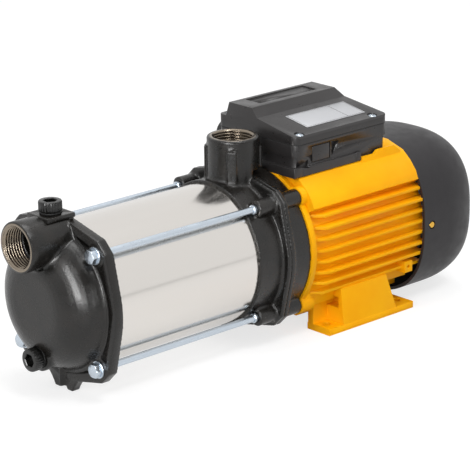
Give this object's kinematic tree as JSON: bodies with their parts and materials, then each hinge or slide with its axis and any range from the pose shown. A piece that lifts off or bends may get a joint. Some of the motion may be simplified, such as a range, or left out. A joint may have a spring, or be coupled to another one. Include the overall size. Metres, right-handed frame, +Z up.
{
  "type": "horizontal multistage pump",
  "caption": "Close-coupled horizontal multistage pump: tie-rod barrel with threaded suction and outlet ports, finned foot-mounted electric motor, terminal box and fan cover.",
  "frame": {"origin": "centre of the four foot bolt holes, on the plane that the feet stand on", "axes": "+X along the shaft towards the fan, +Z up, +Y to the side of the cable gland"},
  "size_m": [0.4277, 0.132, 0.1748],
  "materials": {
    "black_casting": "satin",
    "black_plastic": "satin",
    "cover_plastic": "satin",
    "box_plastic": "fine grained",
    "black_rubber": "matt",
    "polished_stainless": "polished",
    "zinc_steel": "bright zinc",
    "brass_screws": "yellow zinc",
    "pressed_stainless": "pressed",
    "moulded_polymer": "moulded",
    "turned_stainless": "turned",
    "seal_ceramic": "lapped",
    "bearing_steel": "ground",
    "yellow_paint": "satin",
    "lamination_steel": "laminated",
    "copper_wire": "varnished",
    "cast_aluminium": "as cast",
    "ivory_plastic": "moulded",
    "grey_plastic": "moulded",
    "bare_aluminium": "fine brushed"
  },
  "bodies": {
    "root": {"suction_casing": "black_casting", "barrel": "polished_stainless", "front_barrel_seal": "black_rubber", "rear_barrel_seal": "black_rubber", "tie_rods": "zinc_steel", "tie_rod_washers": "zinc_steel", "discharge_casing": "black_casting", "motor_bracket": "black_casting", "stage_casing_1": "pressed_stainless", "stage_casing_2": "pressed_stainless", "stage_casing_3": "pressed_stainless", "stage_casing_4": "pressed_stainless", "stage_casing_5": "pressed_stainless", "seal_seat": "seal_ceramic", "front_bearing_outer": "bearing_steel", "rear_bearing_outer": "bearing_steel", "motor_housing": "yellow_paint", "foot_left": "yellow_paint", "foot_right": "yellow_paint", "foot_screws": "zinc_steel", "stator_core": "lamination_steel", "stator_windings": "copper_wire", "rear_shield": "cast_aluminium", "rear_shield_screws": "zinc_steel", "fan_cover": "cover_plastic", "fan_cover_screws": "brass_screws", "terminal_box_base": "box_plastic", "terminal_box_gasket": "black_rubber", "terminal_box_lid": "box_plastic", "lid_screws": "zinc_steel", "terminal_block": "ivory_plastic", "capacitor": "grey_plastic", "cable_gland": "black_plastic", "gland_nut": "black_plastic", "rating_plate": "bare_aluminium"},
    "rotor": {"shaft": "turned_stainless", "impeller_1": "moulded_polymer", "impeller_2": "moulded_polymer", "impeller_3": "moulded_polymer", "impeller_4": "moulded_polymer", "impeller_5": "moulded_polymer", "impeller_spacers": "turned_stainless", "impeller_nut": "turned_stainless", "seal_head": "turned_stainless", "slinger": "black_rubber", "front_bearing_inner": "bearing_steel", "front_bearing_balls": "bearing_steel", "rear_bearing_inner": "bearing_steel", "rear_bearing_balls": "bearing_steel", "rotor_core": "lamination_steel", "cooling_fan": "black_plastic", "fan_ring": "zinc_steel"},
    "priming_seal": {"priming_ring": "black_rubber"},
    "priming_plug": {"priming_plug": "black_plastic"},
    "drain_seal": {"drain_ring": "black_rubber"},
    "drain_plug": {"drain_plug": "black_plastic"}
  },
  "joints": [
    {"name": "rotor_spin", "type": "hinge", "parent": "root", "child": "rotor", "pos_m": [0, 0, 0.071], "axis": [1, 0, 0], "continuous": true},
    {"name": "priming_turn", "type": "hinge", "parent": "root", "child": "priming_seal", "pos_m": [-0.2721, 0, 0.1386], "axis": [0, 0, 1], "range_deg": [0, 2520]},
    {"name": "priming_rise", "type": "slide", "parent": "priming_seal", "child": "priming_plug", "axis": [0, 0, 1], "range_m": [0, 0.0095]},
    {"name": "drain_turn", "type": "hinge", "parent": "root", "child": "drain_seal", "pos_m": [-0.2878, 0, 0.03], "axis": [-1, 0, 0], "range_deg": [0, 2520]},
    {"name": "drain_rise", "type": "slide", "parent": "drain_seal", "child": "drain_plug", "axis": [-1, 0, 0], "range_m": [0, 0.0095]}
  ],
  "couplings": [
    {"joint": "priming_rise", "follows": "priming_turn", "m_per_rad": 0.0002128},
    {"joint": "drain_rise", "follows": "drain_turn", "m_per_rad": 0.0002128}
  ]
}
